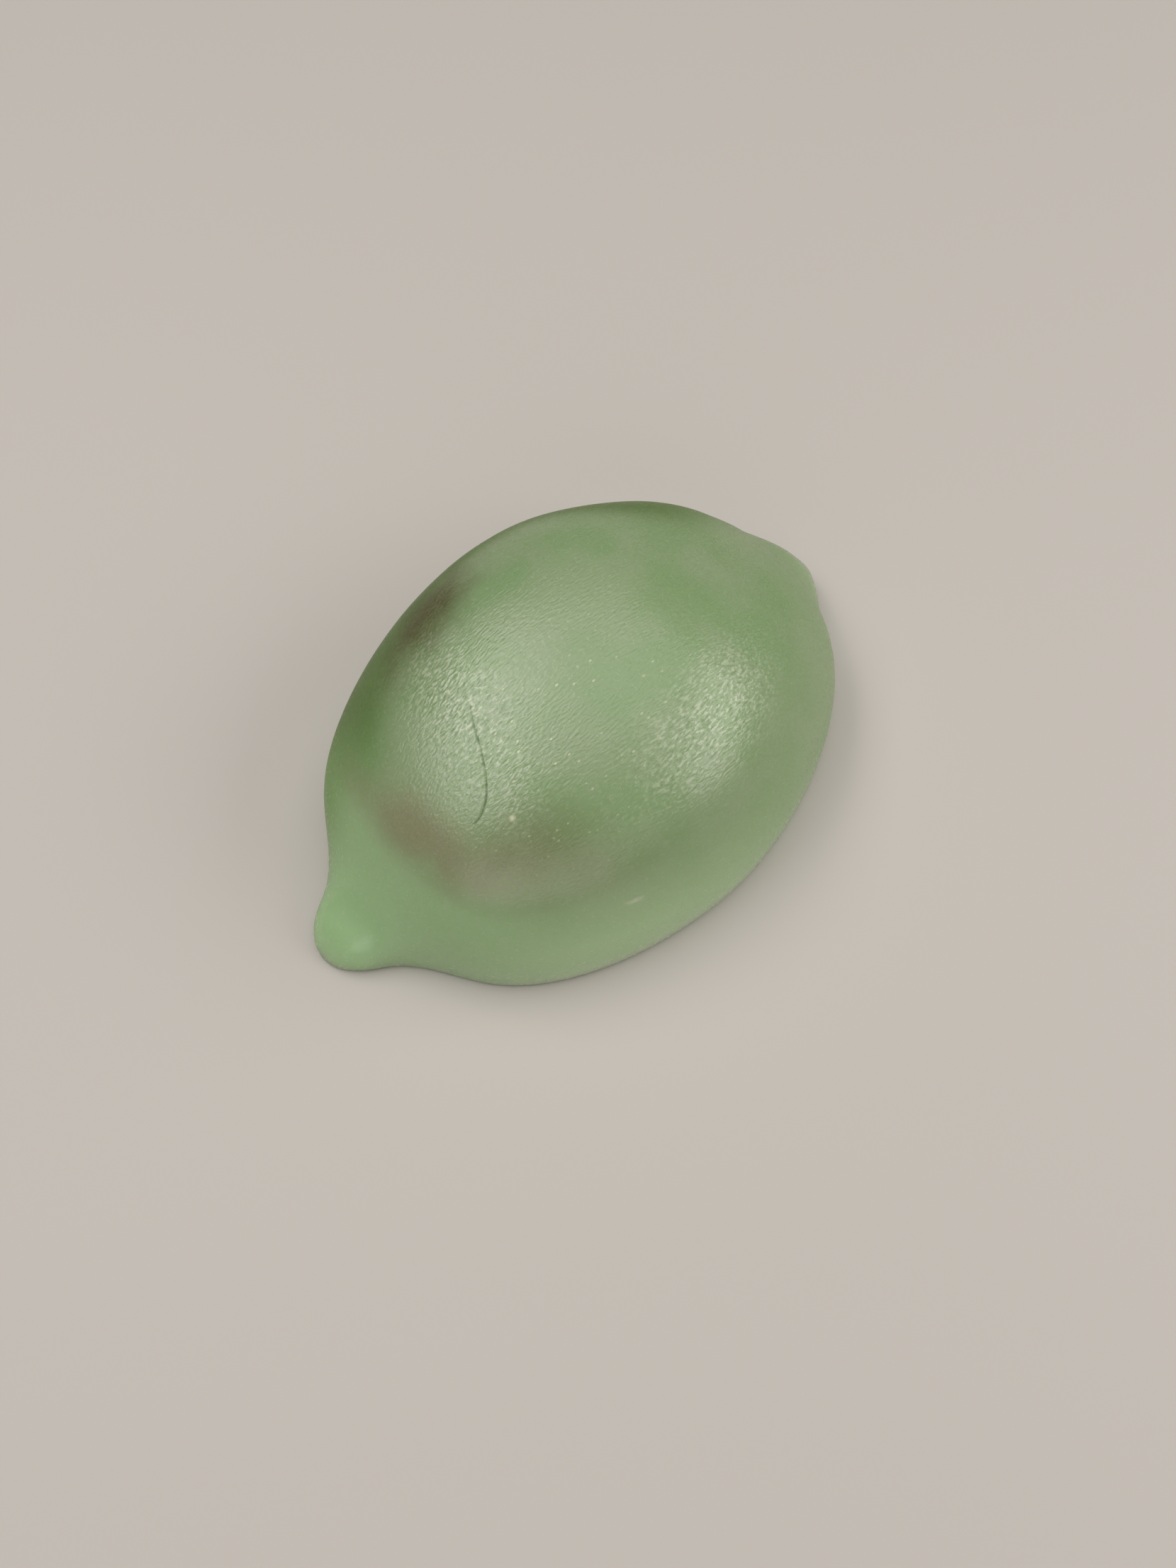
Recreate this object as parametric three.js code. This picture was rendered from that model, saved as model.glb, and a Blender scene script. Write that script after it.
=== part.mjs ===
// A bar of soap cast in the shape of half a lime, lying on its flat pour face.
// Millimetres, +Z up. The long axis of the fruit is X: the nub of the blossom end points to -X and
// the blunt button of the stem end to +X. The pour face is the plane z = 0, and the origin is its centre.
import * as THREE from 'three';

// Overall size
const LENGTH = 75; // tip of the nub to the face of the stem button
const HALF_WIDTH = 24.6; // at the belly, the widest section
const HEIGHT = 24.3; // top of the belly above the pour face

// The outline of the pour face, seen from above: its reach to one side of the long axis.
// "along" is the place on the long axis and "slope" the direction of the outline there.
const NUB_NECK = { along: -33.5, reach: 5.1, slope: 0.56 }; // the rounded nub ends and its flare starts
const NUB_ROOT = { along: -26.2, reach: 14, slope: 1.24 }; // the flare runs into the body
const BELLY = { along: 1.6, reach: HALF_WIDTH, slope: 0 };
const STEM_ROOT = { along: 30.2, reach: 11.2, slope: -1.83 }; // the body runs into the button's flare
const STEM_NECK = { along: 35.9, reach: 3.6, slope: -1.35 }; // the flare ends and the blunt button starts
const TIP_FULLNESS = 0.6; // how square the nub and the button end, as a share of their necks' reach
const TIP_HANDLE = 1; // how far a neck's direction is carried into the tip beyond it
const NUB_SIDE_HANDLE = 0.3; // roundness of the body, as shares of the chords that it spans
const STEM_SIDE_HANDLE = 0.32;
const FLARE_HANDLE = 1 / 3;

// The section across the long axis: a slightly square arch that stands on a small rounded edge
const ARCH_EXPONENT = 2.3; // 2 is a plain ellipse
const EDGE_RADIUS = 0.8; // rounded edge all round the pour face
const EDGE_SHARE = 0.25; // the edge is never more than this share of a section's reach

// The height of a section over its reach falls a little past the belly, and rises again at the button, which
// is fuller than it is wide. Each change is complete between these two places on the long axis.
const SHOULDER_FALL = { from: 6, to: 22, change: -0.08 };
const BUTTON_RISE = { from: 28, to: 37, change: 0.38 };

// How finely the surface is divided
const STEPS_PER_CURVE = 11;
const EDGE_STEPS = 3;
const ARCH_STEPS = 30;
const BASE_STEPS = 12;
const RING_STEPS = EDGE_STEPS + ARCH_STEPS + EDGE_STEPS + BASE_STEPS;

const LIME_GREEN = 0x8fb478;

// The point this distance away from one station, along the outline's direction there.
function handle(station, distance) {
  const scale = distance / Math.hypot(1, station.slope);
  return [station.reach + station.slope * scale, station.along + scale];
}

// One stretch of the outline between two stations.
function curveBetween(outline, from, to, share) {
  const chord = Math.hypot(to.along - from.along, to.reach - from.reach);
  outline.bezierCurveTo(
    ...handle(from, share * chord),
    ...handle(to, -share * chord),
    to.reach,
    to.along,
  );
}

// The outline from the tip of the nub to the tip of the button, as (reach, along) points.
function limeOutline() {
  const outline = new THREE.Path();
  outline.moveTo(0, -LENGTH / 2);
  outline.bezierCurveTo(
    TIP_FULLNESS * NUB_NECK.reach,
    -LENGTH / 2,
    ...handle(NUB_NECK, -TIP_HANDLE),
    NUB_NECK.reach,
    NUB_NECK.along,
  );
  curveBetween(outline, NUB_NECK, NUB_ROOT, FLARE_HANDLE);
  curveBetween(outline, NUB_ROOT, BELLY, NUB_SIDE_HANDLE);
  curveBetween(outline, BELLY, STEM_ROOT, STEM_SIDE_HANDLE);
  curveBetween(outline, STEM_ROOT, STEM_NECK, FLARE_HANDLE);
  outline.bezierCurveTo(
    ...handle(STEM_NECK, TIP_HANDLE),
    TIP_FULLNESS * STEM_NECK.reach,
    LENGTH / 2,
    0,
    LENGTH / 2,
  );
  return outline.getPoints(STEPS_PER_CURVE);
}

// The height of the section at this place on the long axis, over its reach.
function archRise(along) {
  const fall = SHOULDER_FALL.change * THREE.MathUtils.smoothstep(along, SHOULDER_FALL.from, SHOULDER_FALL.to);
  const rise = BUTTON_RISE.change * THREE.MathUtils.smoothstep(along, BUTTON_RISE.from, BUTTON_RISE.to);
  return (HEIGHT / HALF_WIDTH) * (1 + fall + rise);
}

// A point of the closed section at this place and with this reach: from the edge on the +Y side, over the
// arch, round the other edge and back along the flat base.
function sectionPoint(along, reach, step) {
  const edge = Math.min(EDGE_RADIUS, EDGE_SHARE * reach);
  const flat = reach - edge;
  const archEnd = EDGE_STEPS + ARCH_STEPS;
  if (step < EDGE_STEPS) {
    const turn = (step / EDGE_STEPS) * (Math.PI / 2);
    return [flat + edge * Math.sin(turn), edge * (1 - Math.cos(turn))];
  }
  if (step <= archEnd) {
    const turn = ((step - EDGE_STEPS) / ARCH_STEPS) * Math.PI;
    const across = Math.sign(Math.cos(turn)) * Math.abs(Math.cos(turn)) ** (2 / ARCH_EXPONENT);
    const up = Math.sin(turn) ** (2 / ARCH_EXPONENT);
    return [reach * across, edge + (archRise(along) * reach - edge) * up];
  }
  if (step < archEnd + EDGE_STEPS) {
    const turn = ((step - archEnd) / EDGE_STEPS) * (Math.PI / 2);
    return [-flat - edge * Math.cos(turn), edge * (1 - Math.sin(turn))];
  }
  const turn = ((step - archEnd - EDGE_STEPS) / BASE_STEPS) * Math.PI;
  return [-flat * Math.cos(turn), 0];
}

// A closed solid of revolution about the long axis, each of whose rings is then bent into the section.
function limeGeometry() {
  const outline = limeOutline();
  const geometry = new THREE.LatheGeometry(outline, RING_STEPS);
  const positions = geometry.getAttribute('position');
  for (let step = 0; step <= RING_STEPS; step++) {
    outline.forEach((station, index) => {
      const [across, up] = sectionPoint(station.y, station.x, step % RING_STEPS);
      positions.setXYZ(step * outline.length + index, station.y, across, up);
    });
  }
  geometry.computeVertexNormals();
  return geometry;
}

const limeSoap = new THREE.Mesh(
  limeGeometry(),
  new THREE.MeshStandardMaterial({ color: LIME_GREEN, roughness: 0.4, metalness: 0 }),
);
limeSoap.name = 'lime_soap';

const part = new THREE.Group();
part.add(limeSoap);

export default part;
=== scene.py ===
"""A bar of translucent green soap cast in the shape of half a lime, lying on its flat pour face.

Metres, in the frame of the CAD part: +X runs from the pointed nub to the blunt stem button, +Z is up,
and the origin is the centre of the pour face. The bar is one casting, so it is one piece on one body.
"""

import math

import bmesh
import bpy
import numpy as np
from mathutils import Matrix, Vector, noise


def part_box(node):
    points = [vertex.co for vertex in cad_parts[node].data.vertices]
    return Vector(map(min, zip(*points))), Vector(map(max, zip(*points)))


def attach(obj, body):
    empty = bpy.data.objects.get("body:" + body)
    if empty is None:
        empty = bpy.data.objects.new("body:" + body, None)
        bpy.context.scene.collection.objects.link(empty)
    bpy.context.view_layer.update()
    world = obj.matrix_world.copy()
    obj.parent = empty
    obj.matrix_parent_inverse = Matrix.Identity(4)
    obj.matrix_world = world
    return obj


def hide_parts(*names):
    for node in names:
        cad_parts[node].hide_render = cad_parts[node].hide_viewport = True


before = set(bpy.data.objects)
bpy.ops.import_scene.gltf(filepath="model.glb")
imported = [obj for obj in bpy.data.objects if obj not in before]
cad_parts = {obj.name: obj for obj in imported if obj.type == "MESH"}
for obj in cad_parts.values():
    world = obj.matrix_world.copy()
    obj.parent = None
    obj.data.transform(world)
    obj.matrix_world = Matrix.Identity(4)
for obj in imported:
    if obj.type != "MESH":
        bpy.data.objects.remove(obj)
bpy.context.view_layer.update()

NODE = "lime_soap"
MM = 0.001

# ---------------------------------------------------------------- driving sizes, from the frame
LOW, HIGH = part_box(NODE)
HALF_LENGTH = (HIGH.x - LOW.x) / 2
HALF_WIDTH = (HIGH.y - LOW.y) / 2
HEIGHT = HIGH.z - LOW.z

# The outline of the pour face, as the CAD part has it: the place on the long axis as a share of the half
# length, the reach to one side as a share of the half width, and the outline's slope there.
NUB_NECK = (-0.893, 0.207, 0.56)
NUB_ROOT = (-0.699, 0.569, 1.24)
BELLY = (0.043, 1.0, 0.0)
STEM_ROOT = (0.805, 0.455, -1.83)
STEM_NECK = (0.957, 0.146, -1.35)
TIP_FULLNESS = 0.6
TIP_HANDLE = 1 * MM
FLARE_HANDLE = 1 / 3
NUB_SIDE_HANDLE = 0.3
STEM_SIDE_HANDLE = 0.32

# The section across the long axis
ARCH_EXPONENT = 2.3
EDGE_RADIUS = 0.8 * MM
EDGE_SHARE = 0.25
SHOULDER_FALL = (6 * MM, 22 * MM, -0.08)  # change of a section's height over its reach, between two places
BUTTON_RISE = (28 * MM, 37 * MM, 0.38)
SIDEWAYS_LEAN = 1.2 * MM  # the shape isn't quite even about its long axis: the most is 0.385 of this
BUTTON_SHIFT = (26 * MM, 36 * MM, -0.5 * MM)  # sideways, complete between the two places

# How finely the surface is divided
OUTLINE_STEPS = 300
ARCH_STEPS = 236
EDGE_STEPS = 5
BASE_STEPS = 56

# Relief of the cast skin: (height, length) of each kind of unevenness
SWELLS = (0.12 * MM, 14 * MM)
LUMPS = (0.03 * MM, 6 * MM)
PEEL = (0.003 * MM, 1.3 * MM)
POUR_RECESS = 0.35 * MM  # the soap shrinks as it sets, so the pour face is hollow inside its rim
POUR_RIM = 2.2 * MM  # how far in from the edge the hollow reaches most of its depth
POUR_RIPPLE = (0.1 * MM, 9 * MM)
RELIEF_STARTS = 2 * MM  # the relief fades out below this height, so that the bar stands flat
RELIEF_SHIFT = Vector((7.31, 3.17, 5.73))  # how far apart in the noise its kinds are taken

# A hairline scratch across the shoulder next to the nub, as (along, across) from its upper end
SCRATCH = [
    (-12.3, 2.9), (-13.5, 1.0), (-14.7, -1.5), (-15.9, -3.5),
    (-17.2, -5.1), (-18.6, -5.9), (-19.8, -6.0),
]
SCRATCH_HALF_WIDTH = 0.11 * MM
SCRATCH_DEPTH = 0.09 * MM
SCRATCH_TAPERS = (0.08, 0.05)  # the shares of its length over which its upper and its lower end fade out
SCRATCH_FAINT = 0.6  # how deep its upper part is, as a share of the depth
SCRATCH_DEEPENS = (0.5, 0.72)  # the shares of its length between which it reaches the full depth
SCRATCH_BREAKS = (0.6, 20)  # height and frequency of the noise that breaks it up
SCRATCH_STEPS = 40  # points on its curve for each of its turns
SCRATCH_MARGIN = 0.5 * MM  # the mesh is divided finely this far to its sides
SCRATCH_CUTS = 4


# ---------------------------------------------------------------- the form
def bezier(points, count):
    """count + 1 points on the cubic with these four control points."""
    share = np.linspace(0, 1, count + 1)[:, None]
    a, b, c, d = (np.array(point, float) for point in points)
    rest = 1 - share
    return rest**3 * a + 3 * rest**2 * share * b + 3 * rest * share**2 * c + share**3 * d


def placed(station):
    """A station's point and the outline's direction there, in metres."""
    point = np.array([station[0] * HALF_LENGTH, station[1] * HALF_WIDTH])
    way = np.array([1.0, station[2]]) / math.hypot(1, station[2])
    return point, way


def stretch(start, end, share, count=200):
    """One stretch of the outline between two stations."""
    (a, a_way), (b, b_way) = placed(start), placed(end)
    handle = share * np.linalg.norm(b - a)
    return bezier((a, a + a_way * handle, b - b_way * handle, b), count)


def tip(station, side, count=80):
    """The outline from a tip's neck to the tip itself. side is -1 at the nub, +1 at the button."""
    neck, way = placed(station)
    end = np.array([side * HALF_LENGTH, 0.0])
    corner = end + np.array([0.0, TIP_FULLNESS * neck[1]])
    return bezier((neck, neck + way * side * TIP_HANDLE, corner, end), count)


def even_steps(curve, count):
    """The same curve at count + 1 points an even length apart."""
    run = np.concatenate([[0], np.cumsum(np.linalg.norm(np.diff(curve, axis=0), axis=1))])
    even = np.linspace(0, run[-1], count + 1)
    return np.stack([np.interp(even, run, curve[:, 0]), np.interp(even, run, curve[:, 1])], 1)


def lime_outline():
    """(along, reach) from the tip of the nub to the tip of the button."""
    curve = np.concatenate([
        tip(NUB_NECK, -1)[::-1],
        stretch(NUB_NECK, NUB_ROOT, FLARE_HANDLE)[1:],
        stretch(NUB_ROOT, BELLY, NUB_SIDE_HANDLE)[1:],
        stretch(BELLY, STEM_ROOT, STEM_SIDE_HANDLE)[1:],
        stretch(STEM_ROOT, STEM_NECK, FLARE_HANDLE)[1:],
        tip(STEM_NECK, 1)[1:],
    ])
    return even_steps(curve, OUTLINE_STEPS)


def smoothstep(value, start, end):
    share = min(max((value - start) / (end - start), 0), 1)
    return share * share * (3 - 2 * share)


def section(along, reach):
    """The closed section at this place, as (across, up) points: arch, edge, pour face and edge again."""
    edge = min(EDGE_RADIUS, EDGE_SHARE * reach)
    flat = reach - edge
    turn = np.linspace(0, math.pi, ARCH_STEPS + 1)
    across = reach * np.sign(np.cos(turn)) * np.abs(np.cos(turn)) ** (2 / ARCH_EXPONENT)
    change = SHOULDER_FALL[2] * smoothstep(along, *SHOULDER_FALL[:2])
    change += BUTTON_RISE[2] * smoothstep(along, *BUTTON_RISE[:2])
    rise = reach * HEIGHT / HALF_WIDTH * (1 + change)
    up = edge + (rise - edge) * np.sin(turn).clip(0) ** (2 / ARCH_EXPONENT)
    corner = np.linspace(0, math.pi / 2, EDGE_STEPS + 1)[1:]
    corner_across = flat + edge * np.cos(corner)
    corner_up = edge * (1 - np.sin(corner))
    base_across = -flat * np.cos(np.linspace(0, math.pi, BASE_STEPS + 1))[1:-1]
    inset = flat - np.abs(base_across)
    base_up = POUR_RECESS * (1 - np.exp(-((inset / POUR_RIM) ** 2)))
    across = np.concatenate([across, -corner_across, base_across, corner_across[::-1]])
    up = np.concatenate([up, corner_up, base_up, corner_up[::-1]])
    return across, up


def lime_grid():
    """Points of the surface as an array (ring along the axis, step round the section, 3)."""
    rings = []
    for along, reach in lime_outline()[1:-1]:
        across, up = section(along, reach)
        share = along / HALF_LENGTH
        lean = SIDEWAYS_LEAN * share * (1 - share**2)
        lean += BUTTON_SHIFT[2] * smoothstep(along, *BUTTON_SHIFT[:2])
        rings.append(np.stack([np.full_like(across, along), across + lean, up], 1))
    return np.array(rings)


def grid_normals(grid):
    """Outward normals of the grid by central differences."""
    along = np.gradient(grid, axis=0)
    around = np.roll(grid, -1, axis=1) - np.roll(grid, 1, axis=1)
    normals = np.cross(around, along)
    normals /= np.linalg.norm(normals, axis=2, keepdims=True) + 1e-12
    return normals


def unevenness(points, size, seed):
    """Smooth noise of this (height, length) at each point."""
    height, length = size
    shift = RELIEF_SHIFT * seed
    flat = points.reshape(-1, 3) / length
    values = [noise.noise(Vector(point) + shift) for point in flat]
    return height * np.array(values).reshape(points.shape[:-1])


def add_relief(grid):
    """The cast skin stands a little out of the even form, and the pour face ripples inside its rim."""
    skin = unevenness(grid, SWELLS, 1) + unevenness(grid, LUMPS, 2) + unevenness(grid, PEEL, 3)
    off_floor = np.clip(grid[..., 2] / RELIEF_STARTS, 0, 1)
    pour = slice(ARCH_STEPS + EDGE_STEPS + 1, ARCH_STEPS + EDGE_STEPS + BASE_STEPS)
    off_floor[:, pour] = 0
    ripple = unevenness(grid[:, pour], POUR_RIPPLE, 4) * grid[:, pour, 2] / POUR_RECESS
    relief = grid + grid_normals(grid) * (skin * off_floor)[..., None]
    relief[:, pour, 2] += ripple
    return relief


def lime_mesh():
    grid = add_relief(lime_grid())
    rings, steps = grid.shape[:2]
    nub = rings * steps
    button = nub + 1
    tips = [[-HALF_LENGTH, 0, 0], [HALF_LENGTH, BUTTON_SHIFT[2], 0]]
    points = np.concatenate([grid.reshape(-1, 3), tips])
    faces = []
    for start in range(0, (rings - 1) * steps, steps):
        for step in range(steps):
            right = (step + 1) % steps
            faces.append((start + step, start + right, start + steps + right, start + steps + step))
    last = (rings - 1) * steps
    for step in range(steps):
        right = (step + 1) % steps
        faces.append((nub, right, step))
        faces.append((button, last + step, last + right))
    mesh = bpy.data.meshes.new("lime_soap_bar")
    mesh.from_pydata(points.tolist(), [], faces)
    return mesh


def scratch_curve():
    """The scratch as (along, across) points on a smooth curve through its turns."""
    turns = np.array(SCRATCH) * MM
    run = np.arange(len(turns))
    fine = np.linspace(0, len(turns) - 1, SCRATCH_STEPS * (len(turns) - 1) + 1)
    before = np.concatenate([[2 * turns[0] - turns[1]], turns, [2 * turns[-1] - turns[-2]]])
    ways = (before[2:] - before[:-2]) / 2
    span = np.minimum(fine.astype(int), len(turns) - 2)
    share = (fine - run[span])[:, None]
    a, b, a_way, b_way = turns[span], turns[span + 1], ways[span], ways[span + 1]
    cubic = (2 * share**3 - 3 * share**2 + 1) * a + (3 * share**2 - 2 * share**3) * b
    return cubic + (share**3 - 2 * share**2 + share) * a_way + (share**3 - share**2) * b_way


def cut_scratch(mesh):
    """Divides the mesh finely beside the scratch, and presses its groove in."""
    curve = scratch_curve()
    work = bmesh.new()
    work.from_mesh(mesh)

    def gap(point):
        steps = curve - (point.x, point.y)
        place = np.hypot(steps[:, 0], steps[:, 1])
        nearest = place.argmin()
        return place[nearest], nearest / (len(curve) - 1)

    low = curve.min(0) - SCRATCH_MARGIN
    high = curve.max(0) + SCRATCH_MARGIN

    def nearby(point):
        return point.z > HEIGHT / 2 and low[0] < point.x < high[0] and low[1] < point.y < high[1]

    edges = set()
    for face in work.faces:
        centre = face.calc_center_median()
        if nearby(centre) and gap(centre)[0] < SCRATCH_MARGIN:
            edges.update(face.edges)
    bmesh.ops.subdivide_edges(work, edges=list(edges), cuts=SCRATCH_CUTS, use_grid_fill=True)
    work.normal_update()
    depth_of = work.verts.layers.float.new("scratch")
    moves = []
    for vertex in work.verts:
        if not nearby(vertex.co):
            continue
        away, share = gap(vertex.co)
        ends = min(1, share / SCRATCH_TAPERS[0], (1 - share) / SCRATCH_TAPERS[1])
        whole = SCRATCH_FAINT + (1 - SCRATCH_FAINT) * smoothstep(share, *SCRATCH_DEEPENS)
        whole += SCRATCH_BREAKS[0] * noise.noise(Vector((share * SCRATCH_BREAKS[1], 0, 0)))
        groove = max(0, 1 - (away / SCRATCH_HALF_WIDTH) ** 2) * ends * min(max(whole, 0), 1)
        vertex[depth_of] = groove
        moves.append((vertex, vertex.normal * SCRATCH_DEPTH * groove))
    for vertex, move in moves:
        vertex.co -= move
    work.to_mesh(mesh)
    work.free()


# ---------------------------------------------------------------- the soap
TEXTURE_SHIFT = (3.7, 1.9, 2.3)  # how far apart in the noise the textures of two seeds are taken


class Nodes:
    """Short forms for the nodes that the soap's material is made of."""

    def __init__(self, material):
        material.use_nodes = True
        self.tree = material.node_tree
        self.shader = self.tree.nodes["Principled BSDF"]
        coordinates = self.tree.nodes.new("ShaderNodeTexCoord")
        self.place = coordinates.outputs["Object"]
        self.facing = coordinates.outputs["Normal"]

    def add(self, kind, links=None, **settings):
        node = self.tree.nodes.new(kind)
        for name, value in settings.items():
            setattr(node, name, value)
        for socket, source in (links or {}).items():
            if isinstance(source, bpy.types.NodeSocket):
                self.tree.links.new(source, node.inputs[socket])
            else:
                node.inputs[socket].default_value = source
        return node

    def noise(self, length, seed=0, detail=2, pull=1):
        """Noise from 0 to 1 with features of this length, pull times as long along the bar."""
        moved = self.add("ShaderNodeMapping", {
            "Vector": self.place,
            "Location": tuple(seed * value for value in TEXTURE_SHIFT),
            "Scale": (1 / pull, 1, 1)})
        texture = self.add("ShaderNodeTexNoise", {
            "Vector": moved.outputs["Vector"], "Scale": 1 / length, "Detail": detail})
        return texture.outputs["Fac"]

    def ramp(self, value, start, end, low=0.0, high=1.0):
        """Rises smoothly from low to high as the value goes from start to end."""
        node = self.add("ShaderNodeMapRange", {
            "Value": value, "From Min": start, "From Max": end, "To Min": low, "To Max": high},
            interpolation_type="SMOOTHSTEP")
        return node.outputs["Result"]

    def math(self, operation, first, second):
        node = self.add("ShaderNodeMath", {0: first, 1: second}, operation=operation)
        return node.outputs["Value"]

    def product(self, first, *others):
        for other in others:
            first = self.math("MULTIPLY", first, other)
        return first

    def mix(self, share, under, over):
        """Lays the colour over on the colour under, by this share."""
        node = self.add("ShaderNodeMix", data_type="RGBA")
        for socket, source in ((0, share), (6, under), (7, over)):
            if isinstance(source, bpy.types.NodeSocket):
                self.tree.links.new(source, node.inputs[socket])
            else:
                node.inputs[socket].default_value = (*source, 1)
        return node.outputs[2]

    def patch(self, centre, radii, turn=0, ragged=0.5, length=3 * MM, seed=0):
        """1 at the heart of a soft ragged patch, 0 outside it. centre and radii are in millimetres."""
        moved = self.add("ShaderNodeMapping", {
            "Vector": self.place,
            "Location": tuple(value * MM for value in centre),
            "Rotation": (0, 0, math.radians(turn)),
            "Scale": tuple(value * MM for value in radii)}, vector_type="TEXTURE")
        away = self.add("ShaderNodeVectorMath", {0: moved.outputs["Vector"]}, operation="LENGTH")
        wander = self.product(self.noise(length, seed=seed, detail=3), ragged)
        reach = self.math("ADD", away.outputs["Value"], wander)
        return self.ramp(reach, 1 + ragged / 2, ragged / 2)

    def flecks(self, spacing, radius, pull, strength):
        """As much as the strength inside sparse little strokes, pull times as long along the bar."""
        moved = self.add("ShaderNodeMapping", {"Vector": self.place, "Scale": (1 / pull, 1, 1)})
        cells = self.add("ShaderNodeTexVoronoi", {
            "Vector": moved.outputs["Vector"], "Scale": 1 / spacing})
        edge = radius / spacing
        return self.ramp(cells.outputs["Distance"], edge, edge / 2, 0, strength)

    def bump(self, height, distance, strength):
        links = {"Height": height, "Distance": distance, "Strength": strength}
        return self.add("ShaderNodeBump", links).outputs["Normal"]


LEAF_GREEN = (0.295, 0.42, 0.215)
PALE_GREEN = (0.345, 0.44, 0.262)
# The rim's and the thinnest rim's colours are painted glow, standing in for light through the thin soap
RIM_PAINTED_GLOW = (0.48, 0.645, 0.385)
THIN_RIM_PAINTED_GLOW = (0.55, 0.69, 0.45)
# the colour of the painted shade on the far flank, and of the dark specks in the painted highlights
DEEP_GREEN = (0.16, 0.26, 0.085)
# the nub's colour is painted glow as well
NUB_PAINTED_GLOW = (0.39, 0.57, 0.305)
POUR_GREEN = (0.27, 0.39, 0.19)
# the colour of the rosy painted reflection
ROSY_PAINTED_REFLECTION = (0.32, 0.23, 0.16)
OLIVE_BROWN = (0.10, 0.09, 0.015)
OLIVE_GREEN = (0.18, 0.2, 0.07)
# the painted shade in the scratch's groove
SCRATCH_PAINTED_SHADE = (0.12, 0.19, 0.07)
# the white of the painted highlights, and of the scuff
HIGHLIGHT_AND_SCUFF_WHITE = (0.86, 0.84, 0.74)
FLECK_CREAM = (0.80, 0.78, 0.58)
SKIN_TINT = (0.77, 0.83, 0.70)

# Where the colour changes: the place where each change starts, and the place where it is complete
CLOUDS = (0.35, 0.65)  # in the noise
SHOULDER = (20.5 * MM, 15.5 * MM)  # on Z, below the crown
FAR_FLANK = (2 * MM, 13 * MM)  # on Y, where the painted shade of the far flank is full
NEAR_FLANK = (4 * MM, -6 * MM)  # on Y
NUB_END = (-19 * MM, -26 * MM)  # on X
RIM_GLOW_TO_NUB = (24 * MM, -16 * MM)  # on X, the rim's painted glow grows towards the nub
UPPER_RIM = (16 * MM, 6.5 * MM)  # on Z, the painted glow on the near flank and the nub end
LOWER_RIM = (9 * MM, 3 * MM)  # on Z
THIN_RIM = (5 * MM, 1 * MM)  # on Z
NUB_TIP = (-17 * MM, -33 * MM)  # on X, the nub's painted glow
POUR_FACE = (-0.5, -0.95)  # on Z of the surface's direction
SKIN_AT_FOOT = (2 * MM, 10 * MM)  # on Z
CROWN = (12 * MM, 20 * MM)  # on Z

# Amounts at the ends of those changes, and the sizes of the textures
LEAST_RIM_GLOW = 0.2  # how much of the rim's painted glow shows at the button, as a share of that at the nub
NEAR_SHADE_SHARE = 0.12  # how much of the far flank's painted shade reaches the near flank, as a share
SKIN_LEAST = 0.5  # the tinted skin is thinned to this share on the crown, and again at the foot
CLOUD_LENGTH = 9 * MM
FROST_LENGTH = 0.5 * MM
FROST_NOISE = (0.3, 0.7)
FROST_ROUGHNESS = (0.21, 0.28)
GRAIN_LENGTH = 0.27 * MM
GRAIN_PULL = 2.5
GRAIN_HEIGHT = 0.085 * MM
GRAIN_AT_FOOT = 0.02
HIGHLIGHT_LIGHT_GRAIN = (0.51, 0.64)  # the painted highlight's light specks lie on the high grain
HIGHLIGHT_DARK_GRAIN = (0.45, 0.34)  # and its dark specks on the low grain

# The rosy band, a painted reflection, lies below the crown, round the nub end and along the near flank
BAND_FOOT = (12 * MM, 15.5 * MM)  # on Z
BAND_TOP = (19.5 * MM, 16.5 * MM)  # on Z
BAND_ALONG = (-2 * MM, -19 * MM)  # on X
BAND_FAR_END = (8 * MM, 0)  # on Y
BAND_NEAR_END = (-15 * MM, -8 * MM)  # on Y
BAND_NOISE = (0.3, 0.6)
BAND_NOISE_LENGTH = 7 * MM

# Soft patches on the skin, with centres and radii in millimetres and turns in degrees
# a dark olive-brown patch on the far shoulder
FAR_SHOULDER_BROWN = dict(centre=(-7.8, 15.6, 18.4), radii=(12, 7, 8), turn=26, seed=2)
# two rosy patches of painted reflection at the nub end
FAR_ROSY_REFLECTION = dict(centre=(-24.5, 7, 14.3), radii=(3, 8, 4), seed=3)
NEAR_ROSY_REFLECTION = dict(centre=(-23, -2.5, 16), radii=(3.5, 8, 4), turn=20, seed=4)
OLIVE_SMUDGE = dict(centre=(-15.5, -12, 18), radii=(10, 6, 6), turn=-40, seed=8)
# the two painted highlights, where the left and the right window are seen reflected
LEFT_PAINTED_HIGHLIGHT = dict(centre=(-13, 2, 20.5), radii=(8, 17, 8), turn=-12, seed=6)
RIGHT_PAINTED_HIGHLIGHT = dict(centre=(5, -13.5, 20), radii=(17, 8, 7), turn=8, seed=7)
FLECKED = dict(centre=(-8, -5, 21), radii=(22, 17, 12))
CREAM_SPECK = dict(centre=(-16.7, -8.3, 19.3), radii=(0.55, 0.55, 0.55), ragged=0.4, length=0.5 * MM)
SCUFF = dict(centre=(-11.6, -20.6, 11.7), radii=(1.5, 0.5, 0.5), turn=-17, length=0.6 * MM, seed=5)

# How strongly each stain, painted reflection, painted highlight and painted shade covers the green
BAND_SHARE = 0.5
BAND_NEAR_SHARE = 0.45  # of the band's own share, at its near end
BAND_THINNEST = 0.5  # of the band's own share, where the noise is low
FAR_REFLECTION_SHARE = 0.28
NEAR_REFLECTION_SHARE = 0.2
OLIVE_SHARE = 0.55
HIGHLIGHT_LIGHT_SHARE = 0.5
HIGHLIGHT_DARK_SHARE = 0.6
SCUFF_SHARE = 0.4
SCRATCH_SHADE_SHARE = 0.75


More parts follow.
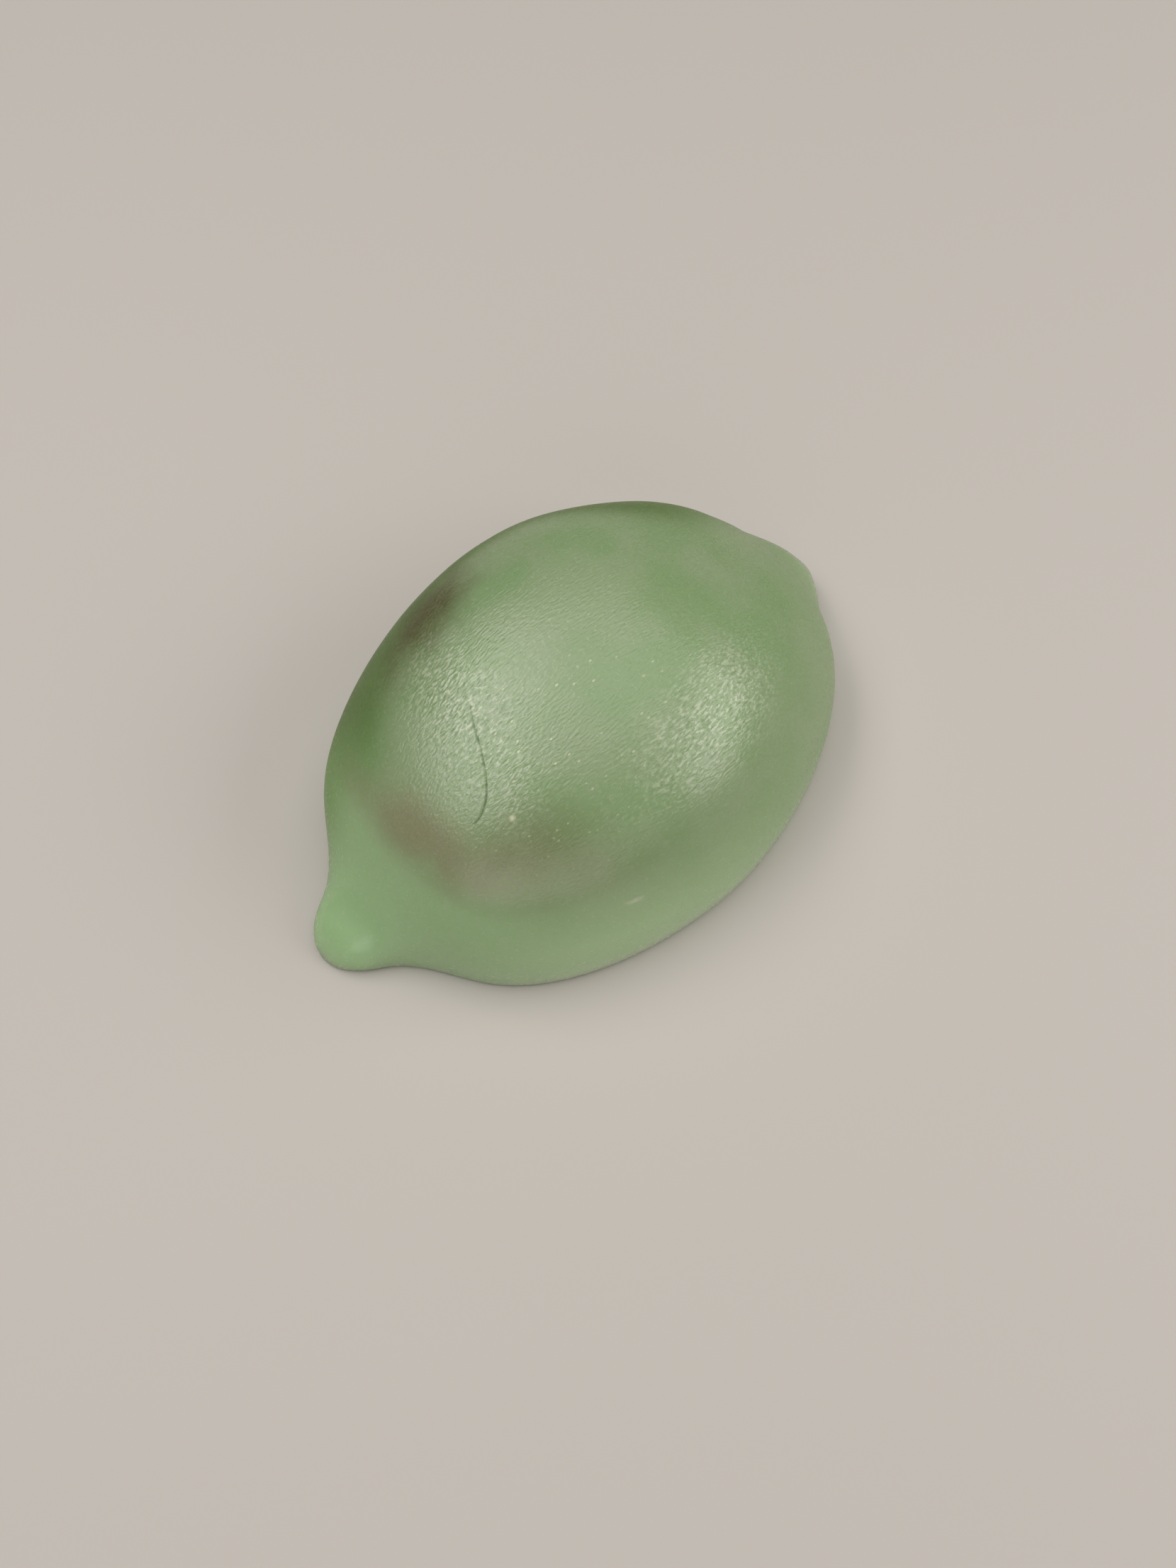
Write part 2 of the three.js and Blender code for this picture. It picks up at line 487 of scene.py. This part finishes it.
def soap_colour(nodes, axes, far_painted_shade, grain):
    """Pale and clouded on top; painted shade makes the far flank below the crown deeper green, and painted
    glow makes the rim and the nub lighter, standing in for light through the thin soap.
    """
    cloud = nodes.ramp(nodes.noise(CLOUD_LENGTH, seed=1), *CLOUDS)
    colour = nodes.mix(cloud, LEAF_GREEN, PALE_GREEN)
    # Painted shade: darker green on the far flank below the crown, and a little on the near flank
    colour = nodes.mix(far_painted_shade, colour, DEEP_GREEN)
    # Painted glow: the rim and the nub are lighter, standing in for light through the thin soap, most on
    # the near flank and towards the nub
    near = nodes.math("MAXIMUM", nodes.ramp(axes["Y"], *NEAR_FLANK), nodes.ramp(axes["X"], *NUB_END))
    rim_glow_share = nodes.ramp(axes["X"], *RIM_GLOW_TO_NUB, LEAST_RIM_GLOW, 1)
    upper = nodes.product(near, nodes.ramp(axes["Z"], *UPPER_RIM))
    colour = nodes.mix(nodes.product(rim_glow_share, upper), colour, RIM_PAINTED_GLOW)
    colour = nodes.mix(nodes.product(rim_glow_share, nodes.ramp(axes["Z"], *LOWER_RIM)), colour, RIM_PAINTED_GLOW)
    colour = nodes.mix(nodes.product(rim_glow_share, nodes.ramp(axes["Z"], *THIN_RIM)), colour, THIN_RIM_PAINTED_GLOW)
    colour = nodes.mix(nodes.ramp(axes["X"], *NUB_TIP), colour, NUB_PAINTED_GLOW)
    facing = nodes.add("ShaderNodeSeparateXYZ", {0: nodes.facing}).outputs["Z"]
    colour = nodes.mix(nodes.ramp(facing, *POUR_FACE), colour, POUR_GREEN)
    colour = smudges_and_reflections(nodes, axes, colour)
    return highlights_and_marks(nodes, grain, colour)


def smudges_and_reflections(nodes, axes, colour):
    """A dark brown patch on the far shoulder, rosy painted reflections round the nub end and along the
    near flank, and an olive smudge round the nub end.
    """
    colour = nodes.mix(nodes.patch(**FAR_SHOULDER_BROWN), colour, OLIVE_BROWN)
    # Painted reflection: a rosy band below the crown, round the nub end and along the near flank
    rosy_reflection_band = nodes.product(
        nodes.ramp(axes["Z"], *BAND_FOOT),
        nodes.ramp(axes["Z"], *BAND_TOP),
        nodes.ramp(axes["X"], *BAND_ALONG, 0, BAND_SHARE),
        nodes.ramp(axes["Y"], *BAND_FAR_END),
        nodes.ramp(axes["Y"], *BAND_NEAR_END, BAND_NEAR_SHARE, 1),
        nodes.ramp(nodes.noise(BAND_NOISE_LENGTH, seed=9), *BAND_NOISE, BAND_THINNEST, 1),
    )
    colour = nodes.mix(rosy_reflection_band, colour, ROSY_PAINTED_REFLECTION)
    # Painted reflection: two rosy patches at the nub end
    for reflection_patch, share in ((FAR_ROSY_REFLECTION, FAR_REFLECTION_SHARE), (NEAR_ROSY_REFLECTION, NEAR_REFLECTION_SHARE)):
        colour = nodes.mix(nodes.product(nodes.patch(**reflection_patch), share), colour, ROSY_PAINTED_REFLECTION)
    return nodes.mix(nodes.product(nodes.patch(**OLIVE_SMUDGE), OLIVE_SHARE), colour, OLIVE_GREEN)


def highlights_and_marks(nodes, grain, colour):
    """Painted highlights, whitish with light and dark specks, where the two windows shine on the crown;
    flecks, a cream speck, a scuff, and the scratch with painted shade in its groove.
    """
    # Painted highlight: whitish light specks and dark green specks where the left and the right window
    # shine
    highlight_places = nodes.math("ADD", nodes.patch(**LEFT_PAINTED_HIGHLIGHT), nodes.patch(**RIGHT_PAINTED_HIGHLIGHT))
    highlight_light_grain = nodes.product(highlight_places, nodes.ramp(grain, *HIGHLIGHT_LIGHT_GRAIN, 0, HIGHLIGHT_LIGHT_SHARE))
    colour = nodes.mix(highlight_light_grain, colour, HIGHLIGHT_AND_SCUFF_WHITE)
    highlight_dark_grain = nodes.product(highlight_places, nodes.ramp(grain, *HIGHLIGHT_DARK_GRAIN, 0, HIGHLIGHT_DARK_SHARE))
    colour = nodes.mix(highlight_dark_grain, colour, DEEP_GREEN)
    flecks = nodes.flecks(spacing=0.9 * MM, radius=0.13 * MM, pull=1.818, strength=0.8)
    colour = nodes.mix(nodes.product(flecks, nodes.patch(**FLECKED)), colour, FLECK_CREAM)
    colour = nodes.mix(nodes.patch(**CREAM_SPECK), colour, FLECK_CREAM)
    colour = nodes.mix(nodes.product(nodes.patch(**SCUFF), SCUFF_SHARE), colour, HIGHLIGHT_AND_SCUFF_WHITE)
    # Painted shade: the scratch's groove is darker green
    scratch = nodes.add("ShaderNodeAttribute", attribute_name="scratch").outputs["Fac"]
    return nodes.mix(nodes.product(scratch, SCRATCH_SHADE_SHARE), colour, SCRATCH_PAINTED_SHADE)


def soap_material():
    """Light scatters inside the soap. A thin tinted skin lies over it, and the crown has a fine grain."""
    material = bpy.data.materials.new("green_glycerine_soap")
    nodes = Nodes(material)
    shader = nodes.shader
    shader.inputs["IOR"].default_value = 1.46
    shader.inputs["Specular IOR Level"].default_value = 1.0
    shader.inputs["Subsurface Weight"].default_value = 1.0
    shader.inputs["Subsurface Radius"].default_value = (0.9, 1.2, 0.7)
    shader.inputs["Subsurface Scale"].default_value = 4 * MM
    shader.inputs["Coat IOR"].default_value = 1.04
    shader.inputs["Coat Roughness"].default_value = 0.3
    shader.inputs["Coat Tint"].default_value = (*SKIN_TINT, 1)
    axes = nodes.add("ShaderNodeSeparateXYZ", {0: nodes.place}).outputs
    shoulder = nodes.ramp(axes["Z"], *SHOULDER)
    # The mask of the painted shade: full on the far flank below the crown, a little on the near flank
    far_painted_shade = nodes.product(shoulder, nodes.ramp(axes["Y"], *FAR_FLANK, NEAR_SHADE_SHARE, 1))
    # The tinted skin is fullest where the far flank's shade is painted, deepening that painted shade, and
    # thinner on the crown and at the foot, which lightens the rim
    skin = nodes.product(
        nodes.ramp(far_painted_shade, 0, 1, SKIN_LEAST, 1),
        nodes.ramp(axes["Z"], *SKIN_AT_FOOT, SKIN_LEAST, 1),
    )
    frost = nodes.ramp(nodes.noise(FROST_LENGTH, seed=11), *FROST_NOISE, *FROST_ROUGHNESS)
    grain = nodes.noise(GRAIN_LENGTH, seed=12, pull=GRAIN_PULL)
    normal = nodes.bump(grain, GRAIN_HEIGHT, nodes.ramp(axes["Z"], *CROWN, GRAIN_AT_FOOT, 1))
    for socket, source in (
        ("Base Color", soap_colour(nodes, axes, far_painted_shade, grain)),
        ("Coat Weight", skin),
        ("Roughness", frost),
        ("Normal", normal),
    ):
        nodes.tree.links.new(source, shader.inputs[socket])
    return material


# ---------------------------------------------------------------- floor, light and camera
VIEW_AWAY = math.radians(46.9)  # the heading, from +X towards +Y, that lies straight away from the camera
LIGHT_COLOUR = (1, 0.94, 0.95)
ROOM_COLOUR = (0.9, 0.92, 1.0)
ROOM_STRENGTH = 0.12
FLOOR_COLOUR = (0.53, 0.51, 0.449)
FLOOR_REACH = 1.5

CAMERA_PLACE = Vector((-43.64, -45.5, 122.67)) * MM
CAMERA_FORWARD = Vector((0.3034, 0.3053, -0.9026))
CAMERA_UP = Vector((0.6105, 0.665, 0.4302))
CAMERA_LENS = 27.05


def direction(bearing, elevation):
    """The way to a light. Bearing 0 is straight away from the camera, and 90 is to its right."""
    turn = VIEW_AWAY - math.radians(bearing)
    lift = math.radians(elevation)
    level = Vector((math.cos(turn), math.sin(turn), 0))
    return level * math.cos(lift) + Vector((0, 0, math.sin(lift)))


def softbox(name, bearing, elevation, distance, size, radiance):
    """An area light that faces the bar; size is its level width and its height."""
    light = bpy.data.lights.new(name, "AREA")
    light.shape = "RECTANGLE"
    light.size, light.size_y = size
    light.energy = radiance * math.pi * size[0] * size[1]
    light.color = LIGHT_COLOUR
    lamp = bpy.data.objects.new(name, light)
    way = direction(bearing, elevation)
    lamp.location = way * distance
    lamp.rotation_euler = way.to_track_quat("Z", "Y").to_euler()
    lamp.visible_camera = False
    bpy.context.scene.collection.objects.link(lamp)


def lights():
    softbox("left_window", bearing=-83, elevation=57, distance=0.6, size=(0.6, 0.2), radiance=3.6)
    softbox("right_window", bearing=92, elevation=32, distance=0.6, size=(0.6, 0.3), radiance=2.9)
    softbox("ceiling", bearing=0, elevation=76, distance=0.7, size=(0.9, 0.66), radiance=1.4)
    softbox("room", bearing=180, elevation=25, distance=0.7, size=(0.9, 0.35), radiance=0.9)
    world = bpy.data.worlds.new("studio")
    world.use_nodes = True
    background = world.node_tree.nodes["Background"]
    background.inputs["Color"].default_value = (*ROOM_COLOUR, 1)
    background.inputs["Strength"].default_value = ROOM_STRENGTH
    bpy.context.scene.world = world


def floor():
    reach = FLOOR_REACH
    corners = [(-reach, -reach, 0), (reach, -reach, 0), (reach, reach, 0), (-reach, reach, 0)]
    mesh = bpy.data.meshes.new("floor")
    mesh.from_pydata(corners, [], [(0, 1, 2, 3)])
    piece = bpy.data.objects.new("floor", mesh)
    bpy.context.scene.collection.objects.link(piece)
    material = bpy.data.materials.new("pale_floor")
    material.use_nodes = True
    shader = material.node_tree.nodes["Principled BSDF"]
    shader.inputs["Base Color"].default_value = (*FLOOR_COLOUR, 1)
    shader.inputs["Roughness"].default_value = 0.6
    piece.data.materials.append(material)


def camera():
    forward = CAMERA_FORWARD.normalized()
    right = forward.cross(CAMERA_UP).normalized()
    up = right.cross(forward)
    data = bpy.data.cameras.new("camera")
    data.sensor_width = 36
    data.lens = CAMERA_LENS
    data.clip_start = 1 * MM
    data.clip_end = 10
    piece = bpy.data.objects.new("camera", data)
    turned = Matrix((right, up, -forward)).transposed().to_4x4()
    piece.matrix_world = Matrix.Translation(CAMERA_PLACE) @ turned
    bpy.context.scene.collection.objects.link(piece)
    bpy.context.scene.camera = piece


def soap_bar():
    mesh = lime_mesh()
    cut_scratch(mesh)
    mesh.shade_smooth()
    piece = bpy.data.objects.new("lime_soap_bar", mesh)
    bpy.context.scene.collection.objects.link(piece)
    piece.data.materials.append(soap_material())
    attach(piece, "root")
    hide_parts(NODE)


camera()
soap_bar()
floor()
lights()
bpy.context.scene.view_settings.view_transform = "Standard"
